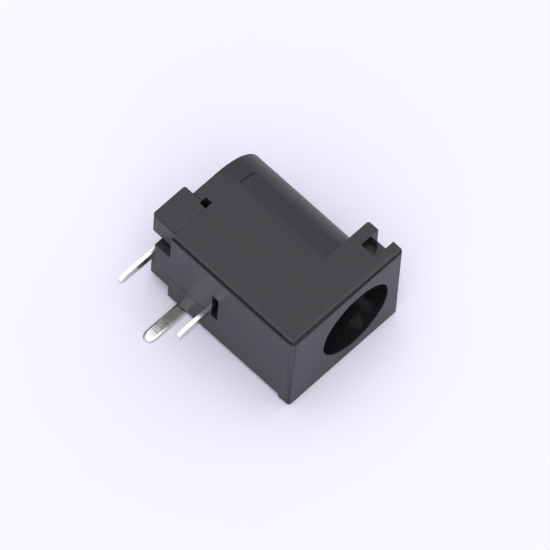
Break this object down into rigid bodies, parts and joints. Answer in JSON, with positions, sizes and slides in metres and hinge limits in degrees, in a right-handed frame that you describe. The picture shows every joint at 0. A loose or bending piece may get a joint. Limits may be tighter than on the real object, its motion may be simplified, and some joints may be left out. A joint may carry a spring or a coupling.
{
  "type": "dc barrel jack",
  "caption": "Right-angle through-hole DC power jack: black moulded housing with a D-shaped barrel, rear retainer, centre pin and plated solder tails.",
  "frame": {"origin": "on the socket axis in the plane of the front face", "axes": "+Y into the socket, -X towards the board with the tails, +Z towards the flank with no switch tail"},
  "size_m": [0.0145, 0.0143, 0.009],
  "materials": {
    "housing_plastic": "satin moulded PBT, lightly glossy",
    "retainer_plastic": "satin moulded PBT, lightly glossy",
    "pin_plating": "turned brass, nickel plated",
    "terminal_tin": "stamped brass strip, bright tin plate",
    "sleeve_tin": "stamped spring brass strip, bright tin plate",
    "switch_tin": "stamped brass strip, bright tin plate"
  },
  "bodies": {
    "root": {"housing": "housing_plastic", "retainer": "retainer_plastic", "centre_pin": "pin_plating", "tip_terminal": "terminal_tin", "sleeve_contact": "sleeve_tin", "switch_contact": "switch_tin"}
  },
  "joints": []
}
